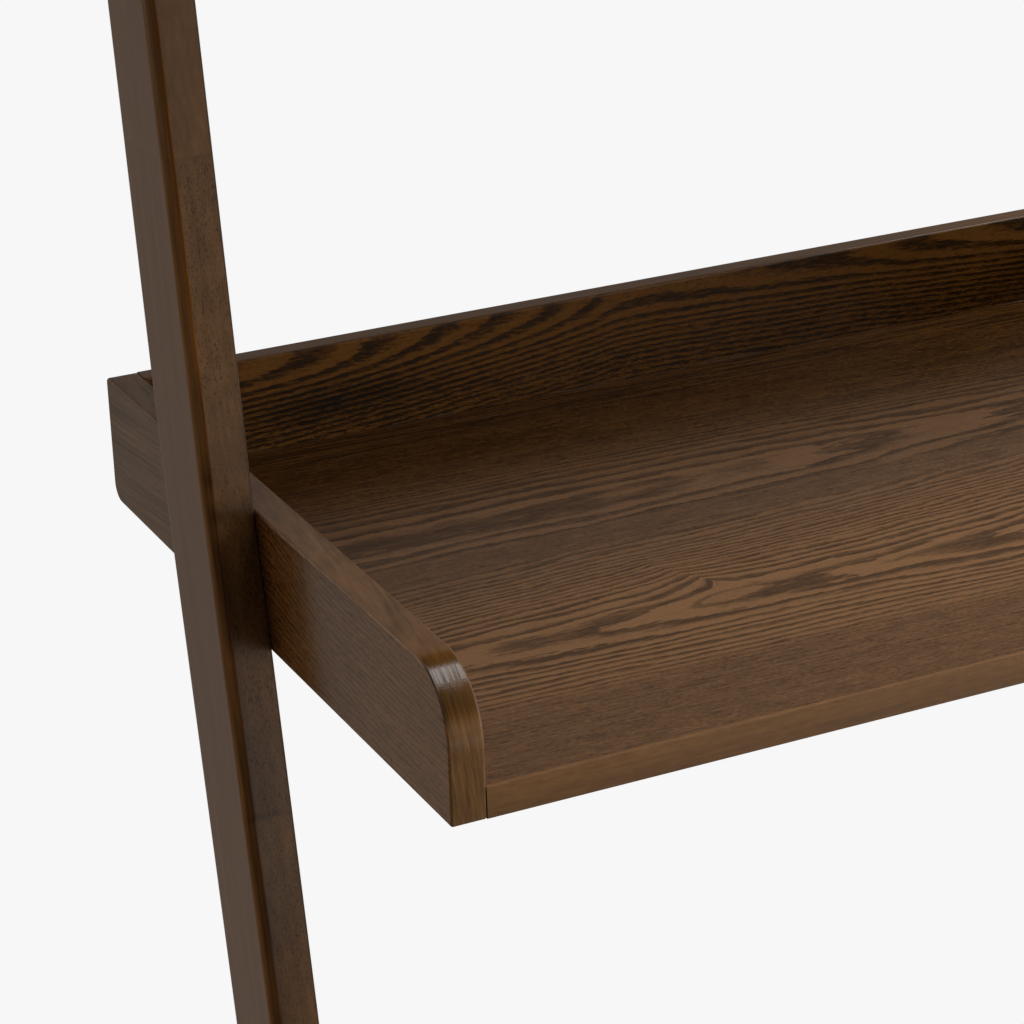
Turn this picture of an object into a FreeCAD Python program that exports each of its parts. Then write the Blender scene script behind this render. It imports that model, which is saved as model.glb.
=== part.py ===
import FreeCAD, Part

import math
import os

from FreeCAD import Vector

# Ladder desk: two bent uprights that lean back, a desk tray between them and two shallower
# trays above it. Lengths are in millimetres. X runs along the desk, Y goes back to the wall,
# Z is up, and the origin is on the floor in the middle of the desk's width and depth.

# Overall
overall_width = 800.0
desk_depth = 500.0
overall_height = 1860.0
wall_y = desk_depth / 2

# Trays: the height of each underside above the floor, and the depth out from the wall
tray_undersides = {"desk": 740.0, "mid": 1240.0, "top": 1640.0}
tray_depths = {"desk": desk_depth, "mid": 300.0, "top": 230.0}
tray_height = 80.0
panel_thickness = 18.0
side_thickness = 20.0
back_thickness = 15.0
lipping_thickness = 3.0
edge_round = 0.8
board_edge_round = 1.5
side_corners = {"front_top": 40.0, "front_bottom": 1.6, "back_top": 3.0, "back_bottom": 11.0}

# Uprights: the front face leans more than the rear one above the bend, so they taper there
stile_width = 28.0
bend_height = 827.5
bend_front_y = 2.9
bend_depth = 72.6
lean_below = 10.0
front_lean_above = 8.05
rear_lean_above = 7.2
bend_round = 120.0
stile_top_corner = 10.0
outer_edge_round = 6.0

# Cross rail
stretcher_height = 70.0
stretcher_thickness = 18.0
stretcher_middle_z = 150.0

# Bolts that hold the trays to the uprights, and their threaded inserts
bolt_radius = 3.0
bolt_length = 30.0
bolt_spread = 34.0
bolt_above_panel = 31.0
bolt_head_radius = 7.5
bolt_head_height = 2.2
insert_radius = 5.0
insert_length = 15.0
insert_hole_depth = 20.0
socket_size = 4.0
socket_depth = 2.8

# Bolts and barrel nuts of the cross rail
stretcher_bolt_length = 60.0
counterbore_depth = 3.0
barrel_radius = 5.0
barrel_length = 14.0
barrel_hole_depth = 16.0
barrel_slot = 1.2

# Dowels
dowel_radius = 4.0
dowel_length = 30.0
dowel_in_side = 12.0
dowel_in_back = 10.0
dowel_chamfer = 1.0
panel_dowel_share = 0.32
back_dowel_offsets = (-270.0, -90.0, 90.0, 270.0)
back_end_dowel_heights = (34.0, 60.0)
stretcher_dowel_offset = 22.0

# Wall brackets, under the top tray
bracket_offset = 250.0
bracket_width = 36.0
bracket_leg = 42.0
bracket_thickness = 2.5
bracket_bend = 4.0
wall_hole_radius = 3.0
wall_hole_drop = 28.0
screw_spacing = 20.0
screw_from_wall = 32.0
screw_radius = 1.9
screw_length = 15.0
screw_head_radius = 3.8
screw_head_height = 1.9
cross_recess = 1.0
cross_length = 4.2

# Levelling feet
pad_radius = 12.5
pad_height = 6.0
pad_round = 2.0
pad_socket_depth = 4.0
collar_across_flats = 13.0
collar_height = 4.0
stem_radius = 4.0
stem_length = 28.0
foot_insert_radius = 6.0
foot_insert_length = 22.0
foot_hole_depth = 32.0
insert_flange_radius = 8.0
insert_flange_height = 1.2

# Clearances
running_gap = 0.05
hole_gap = 0.1
clearance_radius = 3.25
end_gap = 0.5

# Worked out from the above
tray_half = overall_width / 2 - stile_width
inner_half = tray_half - side_thickness
stile_foot_z = pad_height + collar_height
back_front_y = wall_y - back_thickness

along_x = Vector(1, 0, 0)
along_y = Vector(0, 1, 0)
up = Vector(0, 0, 1)
sides = {"left": -1, "right": 1}


def stile_front(z):
    """How far back the uprights' front face is at a height."""
    lean = front_lean_above if z > bend_height else lean_below
    return bend_front_y + (z - bend_height) * math.tan(math.radians(lean))


def stile_rear(z):
    """How far back the uprights' rear face is at a height."""
    lean = rear_lean_above if z > bend_height else lean_below
    return bend_front_y + bend_depth + (z - bend_height) * math.tan(math.radians(lean))


def stile_middle(z):
    return (stile_front(z) + stile_rear(z)) / 2


def rounded_outline(corners):
    """A closed wire across X through (y, z, radius) corners, each rounded by a tangent arc."""
    spans = []
    for index, (y, z, radius) in enumerate(corners):
        corner = Vector(0, y, z)
        before = Vector(0, *corners[index - 1][:2]) - corner
        after = Vector(0, *corners[(index + 1) % len(corners)][:2]) - corner
        before.normalize()
        after.normalize()
        half_angle = before.getAngle(after) / 2
        reach = radius / math.tan(half_angle)
        inward = before + after
        inward.normalize()
        middle = corner + inward * (radius / math.sin(half_angle) - radius)
        spans.append((corner + before * reach, middle, corner + after * reach))
    edges = []
    for index, (start, middle, end) in enumerate(spans):
        edges.append(Part.LineSegment(spans[index - 1][2], start).toShape())
        if (end - start).Length > end_gap / 10:
            edges.append(Part.Arc(start, middle, end).toShape())
    return Part.Wire(edges)


def sheet(outline, x, thickness):
    """A flat piece that stands across X, from its outline."""
    solid = Part.Face(outline).extrude(along_x * thickness)
    solid.translate(Vector(x, 0, 0))
    return solid


def edges_at(shape, x, least_z=-math.inf):
    """The edges that lie wholly in the plane at x and above a height."""
    found = []
    for edge in shape.Edges:
        box = edge.BoundBox
        if abs(box.XMin - x) < hole_gap and abs(box.XMax - x) < hole_gap and box.ZMax > least_z:
            found.append(edge)
    return found


def box_between(low, high):
    size = high - low
    return Part.makeBox(size.x, size.y, size.z, low)


def rod(start, direction, radius, length):
    return Part.makeCylinder(radius, length, start, direction)


def rims_at(shape, middle):
    """The round edges about a point."""
    return [edge for edge in shape.Edges if (edge.CenterOfMass - middle).Length < hole_gap]


def without(shape, cutters):
    """The shape with every cutter taken out, as one solid."""
    return shape.cut(Part.makeCompound(cutters)).Solids[0]


def hexagon(start, direction, across_flats, length):
    """A six-sided prism along a direction."""
    radius = across_flats / math.sqrt(3)
    turn = FreeCAD.Rotation(up, direction)
    points = []
    for index in range(7):
        angle = math.radians(60 * index)
        flat = Vector(radius * math.cos(angle), radius * math.sin(angle), 0)
        points.append(start + turn.multVec(flat))
    return Part.Face(Part.makePolygon(points)).extrude(direction * length)


# The uprights and the cross rail


def make_stile(side):
    """One upright, with its outer edges rounded more than its inner ones."""
    inner_x = sides[side] * tray_half
    outer_x = sides[side] * overall_width / 2
    corners = [
        (stile_front(stile_foot_z), stile_foot_z, 0),
        (stile_rear(stile_foot_z), stile_foot_z, 0),
        (bend_front_y + bend_depth, bend_height, bend_round),
        (stile_rear(overall_height), overall_height, stile_top_corner),
        (stile_front(overall_height), overall_height, stile_top_corner),
        (bend_front_y, bend_height, bend_round),
    ]
    solid = sheet(rounded_outline(corners), min(inner_x, outer_x), stile_width)
    solid = solid.makeFillet(outer_edge_round, edges_at(solid, outer_x, stile_foot_z + 1))
    return solid.makeFillet(edge_round, edges_at(solid, inner_x, stile_foot_z + 1))


def stretcher_ends():
    """The point in the middle of each end of the cross rail, and the way out of it."""
    y = stile_middle(stretcher_middle_z)
    return [(Vector(way * tray_half, y, stretcher_middle_z), along_x * way) for way in sides.values()]


def make_stretcher():
    y = stile_middle(stretcher_middle_z)
    low = Vector(-tray_half, y - stretcher_thickness / 2, stretcher_middle_z - stretcher_height / 2)
    high = Vector(tray_half, y + stretcher_thickness / 2, stretcher_middle_z + stretcher_height / 2)
    solid = box_between(low, high)
    long_edges = [edge for edge in solid.Edges if edge.Length > tray_half]
    return solid.makeFillet(edge_round, long_edges)


# The trays


def tray_front(tray):
    return wall_y - tray_depths[tray]


def make_panel(tray):
    """The bottom board, between the sides, the lipping and the back."""
    z = tray_undersides[tray]
    low = Vector(-inner_half, tray_front(tray) + lipping_thickness, z)
    return box_between(low, Vector(inner_half, back_front_y, z + panel_thickness))


def make_lipping(tray):
    """The strip on the bottom board's front edge."""
    z = tray_undersides[tray]
    front = tray_front(tray)
    low = Vector(-inner_half, front, z)
    solid = box_between(low, Vector(inner_half, front + lipping_thickness, z + panel_thickness))
    front_edges = []
    for edge in solid.Edges:
        if edge.Length > tray_half and edge.BoundBox.YMax < front + hole_gap:
            front_edges.append(edge)
    return solid.makeFillet(edge_round, front_edges)


def make_side(tray, side):
    """An upstand board, with its front top corner rounded most."""
    low = tray_undersides[tray]
    high = low + tray_height
    corners = [
        (tray_front(tray), low, side_corners["front_bottom"]),
        (wall_y, low, side_corners["back_bottom"]),
        (wall_y, high, side_corners["back_top"]),
        (tray_front(tray), high, side_corners["front_top"]),
    ]
    inner_x = sides[side] * inner_half
    outer_x = sides[side] * tray_half
    solid = sheet(rounded_outline(corners), min(inner_x, outer_x), side_thickness)
    return solid.makeFillet(board_edge_round, edges_at(solid, inner_x) + edges_at(solid, outer_x))


def make_back(tray):
    z = tray_undersides[tray]
    low = Vector(-inner_half, back_front_y, z)
    solid = box_between(low, Vector(inner_half, wall_y, z + tray_height))
    top_edges = []
    for edge in solid.Edges:
        if edge.Length > tray_half and edge.BoundBox.ZMin > z + tray_height - hole_gap:
            top_edges.append(edge)
    return solid.makeFillet(board_edge_round, top_edges)


# The bolts between the trays and the uprights


def tray_bolt_places():
    """Where each bolt's head meets a tray's side, and the way its thread goes."""
    places = []
    for tray, underside in tray_undersides.items():
        z = underside + panel_thickness + bolt_above_panel
        for way in sides.values():
            for offset in (-bolt_spread / 2, bolt_spread / 2):
                places.append((Vector(way * inner_half, stile_middle(z) + offset, z), along_x * way))
    return places


def flat_head_bolt(place, way, length):
    """A furniture bolt with a wide flat head and a six-sided socket."""
    top = place - way * bolt_head_height
    head = rod(place, -way, bolt_head_radius, bolt_head_height)
    head = head.makeFillet(edge_round, rims_at(head, top))
    shank = rod(place, way, bolt_radius, length)
    shank = shank.makeChamfer(edge_round, rims_at(shank, place + way * length))
    socket = hexagon(top, way, socket_size, socket_depth)
    return head.fuse(shank).removeSplitter().cut(socket).Solids[0]


def tray_insert(place, way):
    """A threaded sleeve let into an upright."""
    start = place + way * side_thickness
    outside = rod(start, way, insert_radius, insert_length)
    return outside.cut(rod(start, way, bolt_radius + running_gap, insert_length)).Solids[0]


def bolt_hole(place, way):
    """The hole for a tray bolt in a tray's side."""
    return rod(place, way, clearance_radius, side_thickness)


def insert_hole(place, way):
    """The blind hole for a threaded sleeve in an upright."""
    return rod(place + way * side_thickness, way, insert_radius + running_gap, insert_hole_depth)


# The bolts and nuts of the cross rail


def counterbore_floor(place, way):
    """The point where a cross rail bolt's head sits in an upright's outer face."""
    return place + way * (stile_width - counterbore_depth)


def stretcher_bolt(place, way):
    return flat_head_bolt(counterbore_floor(place, way), -way, stretcher_bolt_length)


def stretcher_bolt_holes(place, way):
    """The counterbore and the clearance hole of one cross rail bolt."""
    floor = counterbore_floor(place, way)
    wide = rod(floor, way, bolt_head_radius + hole_gap, counterbore_depth)
    narrow = rod(floor, -way, clearance_radius, stretcher_bolt_length + end_gap)
    return [wide, narrow]


def barrel_middle(place, way):
    depth_in_stile = stile_width - counterbore_depth
    return place - way * (stretcher_bolt_length - depth_in_stile - barrel_radius)


def barrel_nut(place, way):
    """A round cross nut with a screwdriver slot that shows at the rail's rear face."""
    middle = barrel_middle(place, way)
    body = rod(middle - along_y * barrel_length / 2, along_y, barrel_radius, barrel_length)
    thread = rod(middle - way * barrel_radius, way, bolt_radius + running_gap, 2 * barrel_radius)
    slot_low = middle + Vector(-barrel_radius, barrel_length / 2 - barrel_slot, -barrel_slot / 2)
    slot = Part.makeBox(2 * barrel_radius, barrel_slot, barrel_slot, slot_low)
    return body.cut(Part.makeCompound([thread, slot])).Solids[0]


def barrel_hole(place, way):
    rear = barrel_middle(place, way) + along_y * stretcher_thickness / 2
    return rod(rear, -along_y, barrel_radius + running_gap, barrel_hole_depth)


# The dowels


def dowel(start, direction):
    """A wood pin with bevelled ends."""
    pin = rod(start, direction, dowel_radius, dowel_length)
    rims = rims_at(pin, start) + rims_at(pin, start + direction * dowel_length)
    return pin.makeChamfer(dowel_chamfer, rims)


def dowel_hole(start, direction):
    length = dowel_length + 2 * end_gap
    return rod(start - direction * end_gap, direction, dowel_radius + running_gap, length)


def tray_dowel_places(tray):
    """Where each dowel of a tray starts, and its direction."""
    z = tray_undersides[tray]
    board_z = z + panel_thickness / 2
    middle_y = (tray_front(tray) + back_front_y) / 2
    shift = tray_depths[tray] * panel_dowel_share
    places = []
    for way in sides.values():
        x = way * (inner_half + dowel_in_side)
        for y in (middle_y - shift, middle_y + shift):
            places.append((Vector(x, y, board_z), along_x * -way))
        for height in back_end_dowel_heights:
            places.append((Vector(x, wall_y - back_thickness / 2, z + height), along_x * -way))
    for x in back_dowel_offsets:
        places.append((Vector(x, back_front_y + dowel_in_back, board_z), -along_y))
    return places


def stretcher_dowel_places():
    places = []
    for place, way in stretcher_ends():
        for offset in (-stretcher_dowel_offset, stretcher_dowel_offset):
            places.append((place + way * dowel_in_side + up * offset, -way))
    return places


# The wall brackets


def bracket_places():
    return [Vector(way * bracket_offset, wall_y, tray_undersides["top"]) for way in sides.values()]


def wall_bracket(place):
    """A bent steel angle: one leg under the top tray, one flat on the wall."""
    rear = place.y
    top = place.z
    corners = [
        (rear, top, bracket_bend),
        (rear - bracket_leg, top, 0),
        (rear - bracket_leg, top - bracket_thickness, 0),
        (rear - bracket_thickness, top - bracket_thickness, bracket_bend - bracket_thickness),
        (rear - bracket_thickness, top - bracket_leg, 0),
        (rear, top - bracket_leg, 0),
    ]
    solid = sheet(rounded_outline(corners), place.x - bracket_width / 2, bracket_width)
    wall_hole = rod(place - up * wall_hole_drop, -along_y, wall_hole_radius, bracket_thickness)
    cutters = [wall_hole]
    for screw_place in bracket_screw_places(place):
        cutters.append(screw_body(screw_place, running_gap))
    return without(solid, cutters)


def bracket_screw_places(place):
    """The middle of each screw head's underside face, at the leg's lower face."""
    places = []
    for offset in (-screw_spacing / 2, screw_spacing / 2):
        places.append(place + Vector(offset, -screw_from_wall, -bracket_thickness))
    return places


def screw_body(place, growth):
    """A countersunk screw pointing up, or with a growth, the space it needs."""
    head = Part.makeCone(screw_head_radius + growth, screw_radius + growth, screw_head_height, place, up)
    return head.fuse(rod(place, up, screw_radius + growth, screw_length + growth)).removeSplitter()


def bracket_screw(place):
    """A countersunk screw with a cross recess in its head."""
    arms = []
    for size_x, size_y in ((cross_length, cross_recess), (cross_recess, cross_length)):
        corner = place - Vector(size_x / 2, size_y / 2, 0)
        arms.append(Part.makeBox(size_x, size_y, cross_recess, corner))
    return screw_body(place, 0).cut(Part.makeCompound(arms)).Solids[0]


# The levelling feet


def foot_axis(side):
    """The point on the floor under one foot's middle."""
    x = sides[side] * (overall_width - stile_width) / 2
    return Vector(x, stile_middle(stile_foot_z), 0)


def make_foot_pad(side):
    """The plastic pad, with a socket that the stem's collar stands in."""
    base = foot_axis(side)
    pad = rod(base, up, pad_radius, pad_height)
    pad = pad.makeFillet(pad_round, rims_at(pad, base + up * pad_height))
    socket_floor = base + up * (pad_height - pad_socket_depth)
    socket = rod(socket_floor, up, stem_radius + running_gap, pad_socket_depth)
    return pad.cut(socket).Solids[0]


def make_foot_stem(side):
    """The steel stem: a threaded rod with a six-sided collar."""
    base = foot_axis(side) + up * (pad_height - pad_socket_depth)
    stud = rod(base, up, stem_radius, pad_socket_depth + collar_height + stem_length)
    collar = hexagon(foot_axis(side) + up * pad_height, up, collar_across_flats, collar_height)
    return stud.fuse(collar).removeSplitter().Solids[0]


def foot_insert(side):
    """The flanged sleeve in an upright's foot that the stem screws into."""
    start = foot_axis(side) + up * stile_foot_z
    sleeve = rod(start, up, foot_insert_radius, foot_insert_length)
    flange = rod(start, up, insert_flange_radius, insert_flange_height)
    bore = rod(start, up, stem_radius + running_gap, foot_insert_length)
    return sleeve.fuse(flange).removeSplitter().cut(bore).Solids[0]


def foot_holes(side):
    """What is bored out of an upright's foot for the insert and the stem."""
    start = foot_axis(side) + up * stile_foot_z
    flange = rod(start, up, insert_flange_radius + running_gap, insert_flange_height + running_gap)
    sleeve = rod(start, up, foot_insert_radius + running_gap, foot_hole_depth)
    return [flange, sleeve]


# Assembly


def boards():
    """Every wood piece, whole, under its own name."""
    made = {"lower_stretcher": make_stretcher()}
    for side in sides:
        made[f"stile_{side}"] = make_stile(side)
    for tray in tray_undersides:
        made[f"{tray}_panel"] = make_panel(tray)
        made[f"{tray}_lipping"] = make_lipping(tray)
        made[f"{tray}_back"] = make_back(tray)
        for side in sides:
            made[f"{tray}_side_{side}"] = make_side(tray, side)
    return made


def dowel_places():
    places = stretcher_dowel_places()
    for tray in tray_undersides:
        places += tray_dowel_places(tray)
    return places


def hole_cutters():
    """Every hole bored in the wood for a bolt, nut, insert, dowel, screw or foot."""
    cutters = []
    for place, way in tray_bolt_places():
        cutters += [bolt_hole(place, way), insert_hole(place, way)]
    for place, way in stretcher_ends():
        cutters += stretcher_bolt_holes(place, way) + [barrel_hole(place, way)]
    for start, direction in dowel_places():
        cutters.append(dowel_hole(start, direction))
    for place in bracket_places():
        for screw_place in bracket_screw_places(place):
            cutters.append(rod(screw_place, up, screw_radius + running_gap, screw_length + end_gap))
    for side in sides:
        cutters += foot_holes(side)
    return cutters


def bored(board, cutters):
    """A board with the holes that reach it."""
    reach = [cutter for cutter in cutters if cutter.BoundBox.intersect(board.BoundBox)]
    return without(board, reach) if reach else board


def hardware():
    """Every fastener and fitting; a list of solids where several are the same."""
    bolts = tray_bolt_places()
    ends = stretcher_ends()
    made = {
        "tray_bolts": [flat_head_bolt(place, way, bolt_length) for place, way in bolts],
        "tray_inserts": [tray_insert(place, way) for place, way in bolts],
        "stretcher_bolts": [stretcher_bolt(place, way) for place, way in ends],
        "barrel_nuts": [barrel_nut(place, way) for place, way in ends],
        "dowels": [dowel(start, direction) for start, direction in dowel_places()],
        "wall_brackets": [wall_bracket(place) for place in bracket_places()],
        "bracket_screws": [],
        "foot_inserts": [foot_insert(side) for side in sides],
    }
    for place in bracket_places():
        made["bracket_screws"] += [bracket_screw(each) for each in bracket_screw_places(place)]
    for side in sides:
        made[f"foot_pad_{side}"] = [make_foot_pad(side)]
        made[f"foot_stem_{side}"] = [make_foot_stem(side)]
    return made


def main():
    os.makedirs("parts", exist_ok=True)
    cutters = hole_cutters()
    for name, board in boards().items():
        bored(board, cutters).exportStep(f"parts/{name}.step")
    for name, solids in hardware().items():
        Part.makeCompound(solids).exportStep(f"parts/{name}.step")


main()
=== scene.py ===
import math

import bpy
from bpy.props import FloatProperty, FloatVectorProperty, PointerProperty
from bpy.types import Operator, Panel, PropertyGroup
from mathutils import Matrix, Vector


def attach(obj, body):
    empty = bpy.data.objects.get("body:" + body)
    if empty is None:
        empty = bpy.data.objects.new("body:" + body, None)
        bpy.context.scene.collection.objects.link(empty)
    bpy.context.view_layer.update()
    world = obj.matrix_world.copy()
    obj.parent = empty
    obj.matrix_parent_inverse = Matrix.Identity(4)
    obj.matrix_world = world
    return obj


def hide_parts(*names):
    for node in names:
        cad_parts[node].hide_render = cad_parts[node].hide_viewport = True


bl_info = {
    "name": "Ladder Desk",
    "version": (1, 0, 0),
    "blender": (4, 5, 0),
    "location": "3D View > Sidebar > Ladder Desk",
    "description": "Finishes the pieces of a leaning ladder desk and sets up its studio",
    "category": "Object",
}

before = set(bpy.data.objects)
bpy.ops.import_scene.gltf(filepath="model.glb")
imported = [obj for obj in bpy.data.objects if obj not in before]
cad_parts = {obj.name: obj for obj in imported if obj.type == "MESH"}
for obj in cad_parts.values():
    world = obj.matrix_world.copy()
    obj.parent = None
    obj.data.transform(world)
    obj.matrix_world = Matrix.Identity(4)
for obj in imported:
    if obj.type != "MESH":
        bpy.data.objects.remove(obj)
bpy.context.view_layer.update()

MILLIMETRES = 1000.0
TRAYS = ("desk", "mid", "top")

# The solids' places in millimetres: the trays' undersides and height, the faces of their side boards, and the
# outer faces of the uprights
TRAY_UNDERSIDES = (740.0, 1240.0, 1640.0)
TRAY_HEIGHT = 80.0
INNER_FACE = 352.0
OUTER_FACE = 372.0
OUTSIDE = 400.0

# The desk tray's front, the bottom boards' thickness, and the back boards' front
TRAY_FRONT = -250.0
BOTTOM_THICKNESS = 18.0
BACK_FRONT = 235.0

# The uprights' bend: its height, the lean of their middle and of their front, and how far back the front is
BEND_HEIGHT = 827.5
LEAN_BELOW = math.tan(math.radians(10.0))
LEAN_ABOVE = math.tan(math.radians(7.6))
FRONT_LEAN_ABOVE = math.tan(math.radians(8.05))
FRONT_AT_BEND = 2.9

# A height that is surely under a tray and over the one below it, measured down from the tray's underside
BELOW_TRAY = 140.0

# The round corner at the front of the desk tray's sides: its middle (back, up from the underside) and radius
CORNER_MIDDLE = (-210.0, 40.0)
CORNER_RADIUS = 40.0

# Bolts and feet, in millimetres: the rows of tray bolts (back, up) and the two bolts of a row, the floors of
# the cross rail bolts' holes and their place (back, up), and where a foot's stem begins
TRAY_BOLT_ROWS = ((32.411, 789.0), (100.985, 1289.0), (154.536, 1689.0))
TRAY_BOLT_OFFSETS = (-17.0, 17.0)
RAIL_BOLT_FLOOR = 397.0
RAIL_BOLT_PLACE = (-80.262, 150.0)
FOOT_PLACE = (386.0, -104.95, 2.0)

# How deep the threads are, as a share of their pitch
BOLT_THREAD_DEPTH = 0.6
STEM_THREAD_DEPTH = 0.55

# How far a noise moves along each axis for each step of its seed
SEED_SHIFT = (7.13, 3.71, 5.17)

# Outputs picked by number: Value of Vector Math, Result of a colour Mix, Object of Texture Coordinate
VALUE_OUTPUT = 1
COLOUR_OUTPUT = 2
OBJECT_OUTPUT = 3


# Shader and geometry maths


class Socket:
    """A node's output that can stand in a sum."""

    def __init__(self, graph, link):
        self.graph = graph
        self.link = link

    def __add__(self, other):
        return self.graph.math("ADD", self, other)

    def __sub__(self, other):
        return self.graph.math("SUBTRACT", self, other)

    def __rsub__(self, other):
        return self.graph.math("SUBTRACT", other, self)

    def __mul__(self, other):
        return self.graph.math("MULTIPLY", self, other)

    def __truediv__(self, other):
        return self.graph.math("DIVIDE", self, other)

    def __neg__(self):
        return self.graph.math("MULTIPLY", self, -1.0)

    def __pow__(self, other):
        return self.graph.math("POWER", self, other)

    __radd__ = __add__
    __rmul__ = __mul__


class Graph:
    """A node tree that is written as expressions."""

    def __init__(self, tree):
        self.tree = tree

    def node(self, kind, settings=None, inputs=None, output=0):
        """Adds a node: first its settings, then the values and links of its sockets."""
        made = self.tree.nodes.new(kind)
        for name, value in (settings or {}).items():
            if name == "curve":
                lay_curve(made, value)
            else:
                setattr(made, name, value)
        for key, value in (inputs or {}).items():
            if isinstance(value, Socket):
                self.tree.links.new(value.link, made.inputs[key])
            else:
                made.inputs[key].default_value = value
        return Socket(self, made.outputs[output]) if len(made.outputs) else made

    def math(self, operation, first, second=0.0):
        return self.node("ShaderNodeMath", {"operation": operation}, {0: first, 1: second})

    def vector(self, operation, first, second, output=0):
        settings = {"operation": operation}
        return self.node("ShaderNodeVectorMath", settings, {0: first, 1: second}, output)

    def split(self, vector):
        """The three parts of a vector."""
        parts = self.node("ShaderNodeSeparateXYZ", None, {0: vector}).link.node
        return [Socket(self, parts.outputs[index]) for index in range(3)]

    def join(self, x, y, z):
        return self.node("ShaderNodeCombineXYZ", None, {0: x, 1: y, 2: z})

    def step(self, value, low, high, start=0.0, end=1.0):
        """A smooth rise from start to end as the value goes from low to high."""
        settings = {"interpolation_type": "SMOOTHSTEP"}
        return self.node("ShaderNodeMapRange", settings, {0: value, 1: low, 2: high, 3: start, 4: end})

    def mix(self, factor, first, second):
        """A colour between two colours."""
        settings = {"data_type": "RGBA", "clamp_factor": True}
        return self.node("ShaderNodeMix", settings, {0: factor, 6: first, 7: second}, COLOUR_OUTPUT)

    def scale(self, vector, factor):
        return self.node("ShaderNodeVectorMath", {"operation": "SCALE"}, {0: vector, 3: factor})

    def noise(self, place, lengths, detail, seed):
        """Noise about zero, with a wavelength for each axis. Each noise has a seed of its own."""
        scale = tuple(1.0 / length for length in lengths)
        shifted = self.vector("MULTIPLY", place, scale)
        shifted = self.vector("ADD", shifted, tuple(seed * shift for shift in SEED_SHIFT))
        inputs = {"Vector": shifted, "Scale": 1.0, "Detail": detail, "Roughness": 0.5}
        return self.node("ShaderNodeTexNoise", None, inputs) - 0.5


def lay_curve(node, points):
    """Gives a Float Curve node its points."""
    curve = node.mapping.curves[0]
    curve.points[0].location = points[0]
    curve.points[1].location = points[-1]
    for point in points[1:-1]:
        curve.points.new(*point)
    node.mapping.update()


def new_material(name):
    """An empty material, and its graph."""
    material = bpy.data.materials.new(name)
    material.use_nodes = True
    material.node_tree.nodes.clear()
    return material, Graph(material.node_tree)


def finish_surface(graph, inputs):
    """Ends a material in one glossy surface."""
    surface = graph.node("ShaderNodeBsdfPrincipled", None, inputs)
    graph.node("ShaderNodeOutputMaterial", None, {"Surface": surface})


def place_in_millimetres(graph):
    """The point on the object that is being shaded."""
    place = graph.node("ShaderNodeTexCoord", None, None, OBJECT_OUTPUT)
    return graph.vector("MULTIPLY", place, (MILLIMETRES,) * 3)


def give_material(material, *nodes):
    """Puts a material on carried-over pieces."""
    for name in nodes:
        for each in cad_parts[name].material_slots:
            each.material = material


# Materials

# How dark the wood is through one year's growth: a sharp start, then slowly lighter
GROWTH = ((0.0, 0.0), (0.05, 0.85), (0.14, 1.0), (0.36, 0.85), (0.52, 0.35), (0.68, 0.03), (1.0, 0.0))

# Years across the bottom boards, front to rear: place in millimetres, count of years
PANEL_YEARS = (
    (-250, 30), (-178, 8.9), (-150, 3.9), (-128, 0.9), (-108, 0), (-88, 1.3), (-65, 5.0), (-5, 16.5),
    (8, 17.4), (23, 15.9), (30, 15.35), (37, 14.85), (42, 14.42), (47, 14.13), (52, 14.03), (57, 14),
    (62, 14.03), (67, 14.13), (72, 14.42), (77, 14.85), (84, 15.35), (91, 15.9), (98, 16.5), (140, 25.4),
    (220, 48), (250, 56),
)
# How the years move along the boards, left to right, in the front and the rear flame
FRONT_FLAME = (
    (-360, 6.6), (-300, 6.5), (-262, 6.3), (-228, 6.22), (-213, 5.98), (-190, 5.75), (-165, 5.6),
    (-148, 5.42), (-120, 5.3), (-60, 5.12), (-20, 4.9), (20, 4.45), (60, 4.0), (130, 3.1), (360, 0.2),
)
REAR_FLAME = (
    (-360, 0.15), (-200, 0.25), (-100, 0.38), (-34, 0.52), (0, 0.65), (40, 0.9), (56, 1.05), (96, 1.45),
    (130, 1.7), (230, 2.3), (360, 3.0),
)
# How clearly the years show, how ragged they are, and how light the colour is made across the bottom boards,
# darkest towards the rear
PANEL_CLARITY = (
    (-250, 0.15), (-184, 0.2), (-172, 0.6), (-150, 0.9), (-80, 0.95), (-62, 0.8), (-12, 0.7), (-4, 0.2),
    (18, 0.15), (26, 0.85), (95, 0.85), (104, 0.7), (125, 0.6), (142, 0.2), (212, 0.2), (222, 0.9),
    (250, 0.9),
)
PANEL_RAGGED = ((-250, 1.0), (-80, 1.0), (-62, 1.3), (-8, 1.4), (24, 1.0), (95, 1.0), (140, 1.4), (250, 1.4))
PANEL_TONE = (
    (-250, 0.73), (-188, 0.76), (-172, 0.89), (-130, 0.95), (-60, 0.95), (0, 0.76), (30, 0.76), (60, 0.86),
    (115, 0.69), (150, 0.59), (200, 0.59), (235, 0.53), (250, 0.53),
)

# The small knot in the front flame: its middle and size, and the foot of the spire that rises from it
KNOT = (-131.0, -106.0)
KNOT_SIZE = (22.0, 6.0)
SPIRE = (-132.0, -81.0)

# The back boards: years up the board, and how they move along it
BACK_YEARS = (
    (0, 15.6), (20, 10.9), (30, 8.4), (40, 5.85), (44, 4.85), (48, 3.85), (52, 2.9), (56, 2.0), (60, 1.3),
    (66, 0.6), (72, 0.2), (80, 0),
)
BACK_FLAME = (
    (-372, 0.8), (-289, 1.5), (-252, 2.0), (-203, 3.0), (-161, 4.0), (-121, 5.0), (-83, 6.0), (-48, 7.0),
    (-8, 7.95), (30, 7.85), (88, 7.45), (150, 7.1), (215, 6.1), (290, 5.2), (372, 4.3),
)

# The colour of the fine dust where the desk's bottom meets its back
DUST = (0.2, 0.18, 0.16)

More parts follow.
